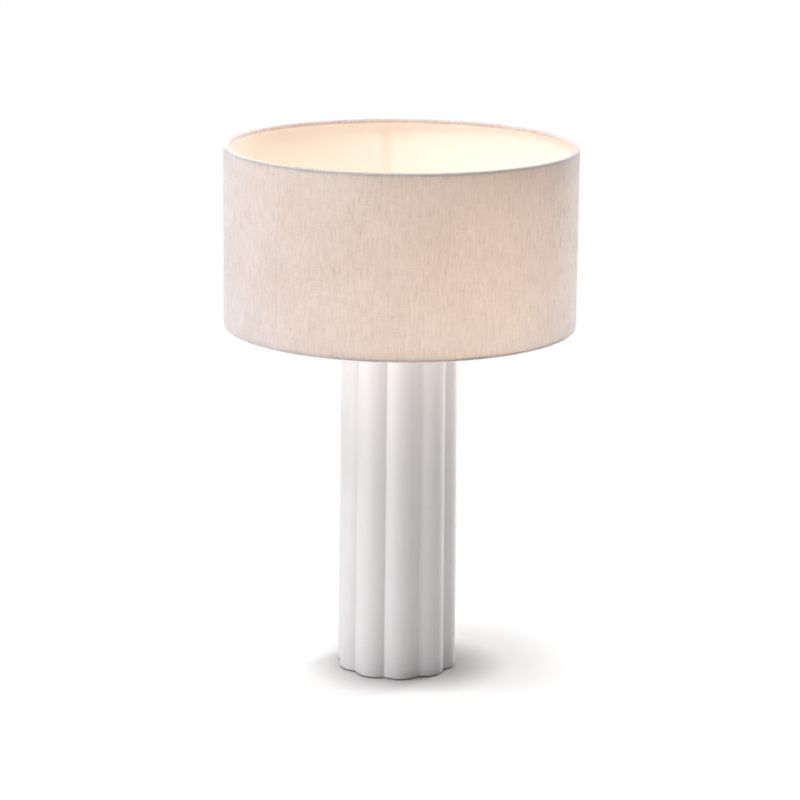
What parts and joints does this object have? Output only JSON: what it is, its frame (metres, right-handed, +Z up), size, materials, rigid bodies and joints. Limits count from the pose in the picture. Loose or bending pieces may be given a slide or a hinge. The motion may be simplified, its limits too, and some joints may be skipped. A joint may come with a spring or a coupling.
{
  "type": "table lamp",
  "caption": "Table lamp with a round fluted white ceramic column and a wide natural linen drum shade, open above and below, over a screw-in opal bulb.",
  "frame": {"origin": "middle of the foot, on the surface that the lamp stands on", "axes": "+Z up along the column; -Y is the front, and the cord hole at the foot faces +Y, the back"},
  "size_m": [0.4, 0.4, 0.61],
  "materials": {
    "glazed_ceramic": "matt white glaze",
    "wool_felt": "pressed wool felt, natural grey",
    "grey_rubber": "moulded, matt",
    "zinc_plated_steel": "bright zinc plating",
    "white_coated_steel": "white powder coating",
    "white_holder_plastic": "moulded, fine matt",
    "porcelain": "unglazed electrical porcelain",
    "brass": "stamped and tumbled",
    "nickel_plated_cap": "rolled, nickel bright",
    "black_insulator": "black vitrite",
    "bulb_housing_plastic": "white, smooth",
    "opal_globe": "opal diffuser, lit warm",
    "light_board": "white solder mask on aluminium",
    "light_chip": "phosphor coated",
    "driver_board": "green laminate",
    "driver_part": "sleeved",
    "natural_linen": "slubby plain weave, undyed",
    "lining_sheet": "smooth warm white styrene-coated paper"
  },
  "bodies": {
    "stand": {"column_body": "glazed_ceramic", "felt_pad": "wool_felt", "cord_grommet": "grey_rubber", "threaded_tube": "zinc_plated_steel", "hex_nut": "zinc_plated_steel", "lock_washer": "zinc_plated_steel", "steel_washer": "zinc_plated_steel", "rubber_washer": "grey_rubber", "top_plate": "white_coated_steel", "neck_collar": "white_coated_steel", "holder_cap": "white_holder_plastic", "entry_lock_screw": "zinc_plated_steel", "holder_barrel": "white_holder_plastic", "porcelain_insert": "porcelain", "screw_shell": "brass", "centre_contact": "brass", "terminal_screws": "zinc_plated_steel", "terminal_blocks": "brass", "lower_shade_ring": "white_holder_plastic"},
    "bulb": {"bulb_tip_contact": "brass", "bulb_insulator": "black_insulator", "bulb_screw_cap": "nickel_plated_cap", "bulb_housing": "bulb_housing_plastic", "bulb_board": "light_board", "bulb_chips": "light_chip", "bulb_driver_board": "driver_board", "bulb_driver_parts": "driver_part", "bulb_globe": "opal_globe"},
    "shade": {"top_wire_ring": "white_coated_steel", "bottom_wire_ring": "white_coated_steel", "shade_hub": "white_coated_steel", "shade_spokes": "white_coated_steel", "shade_linen": "natural_linen", "shade_lining": "lining_sheet"},
    "clamp_ring": {"upper_shade_ring": "white_holder_plastic"}
  },
  "joints": [
    {"name": "bulb_lift", "type": "slide", "parent": "stand", "child": "bulb", "axis": [0, 0, 1], "range_m": [0, 0.163]},
    {"name": "shade_turn", "type": "hinge", "parent": "stand", "child": "shade", "pos_m": [0, 0, 0.4622], "axis": [0, 0, 1], "continuous": true},
    {"name": "ring_turn", "type": "hinge", "parent": "stand", "child": "clamp_ring", "pos_m": [0, 0, 0.4661], "axis": [0, 0, 1], "continuous": true}
  ]
}
